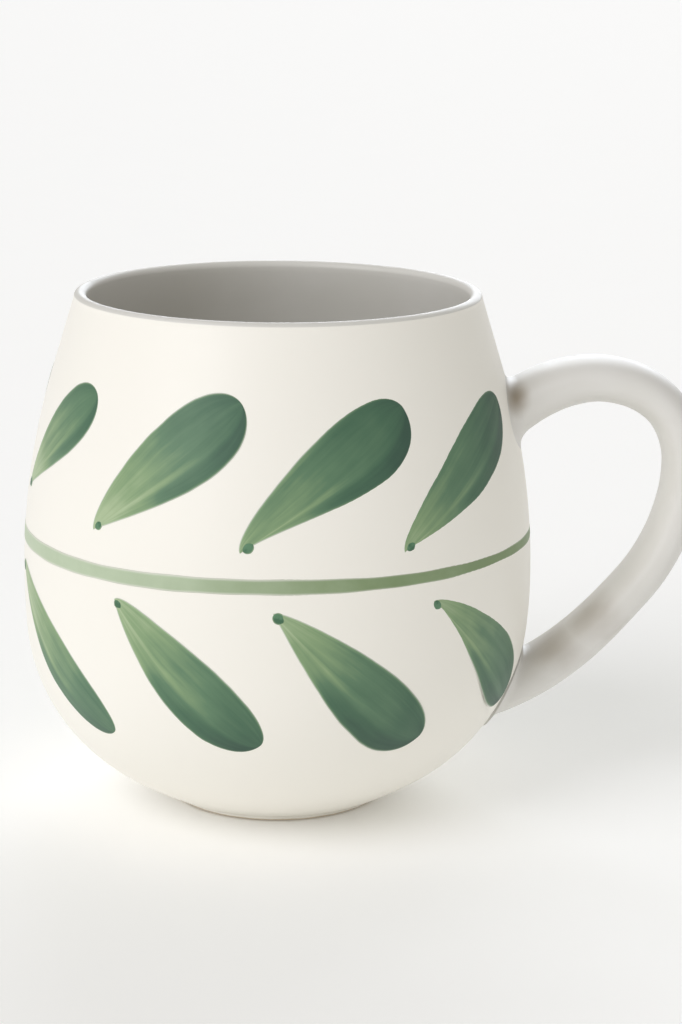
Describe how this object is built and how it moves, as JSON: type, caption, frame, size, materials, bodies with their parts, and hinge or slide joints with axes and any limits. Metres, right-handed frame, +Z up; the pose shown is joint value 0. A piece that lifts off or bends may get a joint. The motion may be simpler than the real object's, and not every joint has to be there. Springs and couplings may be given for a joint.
{
  "type": "mug",
  "caption": "Rounded stoneware mug with a narrowed rim and a large loop handle, glazed warm white, with a painted green stem line and teardrop leaves round the belly.",
  "frame": {"origin": "centre of the flat foot, on the surface the mug stands on", "axes": "+Z up along the body's turning axis, +X towards the handle"},
  "size_m": [0.1232, 0.0924, 0.0931],
  "materials": {
    "white_glaze": "satin white glaze on stoneware",
    "stem_paint": "thin pale green brush line under satin glaze",
    "leaf_paint": "streaky green brush strokes under satin glaze",
    "dot_paint": "dark green dab under satin glaze"
  },
  "bodies": {
    "root": {"body": "white_glaze", "handle": "white_glaze", "handle_joint_upper": "white_glaze", "handle_joint_lower": "white_glaze", "stem_band": "stem_paint", "upper_leaf_1": "leaf_paint", "upper_leaf_2": "leaf_paint", "upper_leaf_3": "leaf_paint", "upper_leaf_4": "leaf_paint", "upper_leaf_5": "leaf_paint", "upper_leaf_6": "leaf_paint", "upper_leaf_7": "leaf_paint", "upper_leaf_8": "leaf_paint", "upper_leaf_9": "leaf_paint", "lower_leaf_1": "leaf_paint", "lower_leaf_2": "leaf_paint", "lower_leaf_3": "leaf_paint", "lower_leaf_4": "leaf_paint", "lower_leaf_5": "leaf_paint", "lower_leaf_6": "leaf_paint", "lower_leaf_7": "leaf_paint", "lower_leaf_8": "leaf_paint", "lower_leaf_9": "leaf_paint", "upper_tip_dots": "dot_paint", "lower_tip_dots": "dot_paint"}
  },
  "joints": []
}
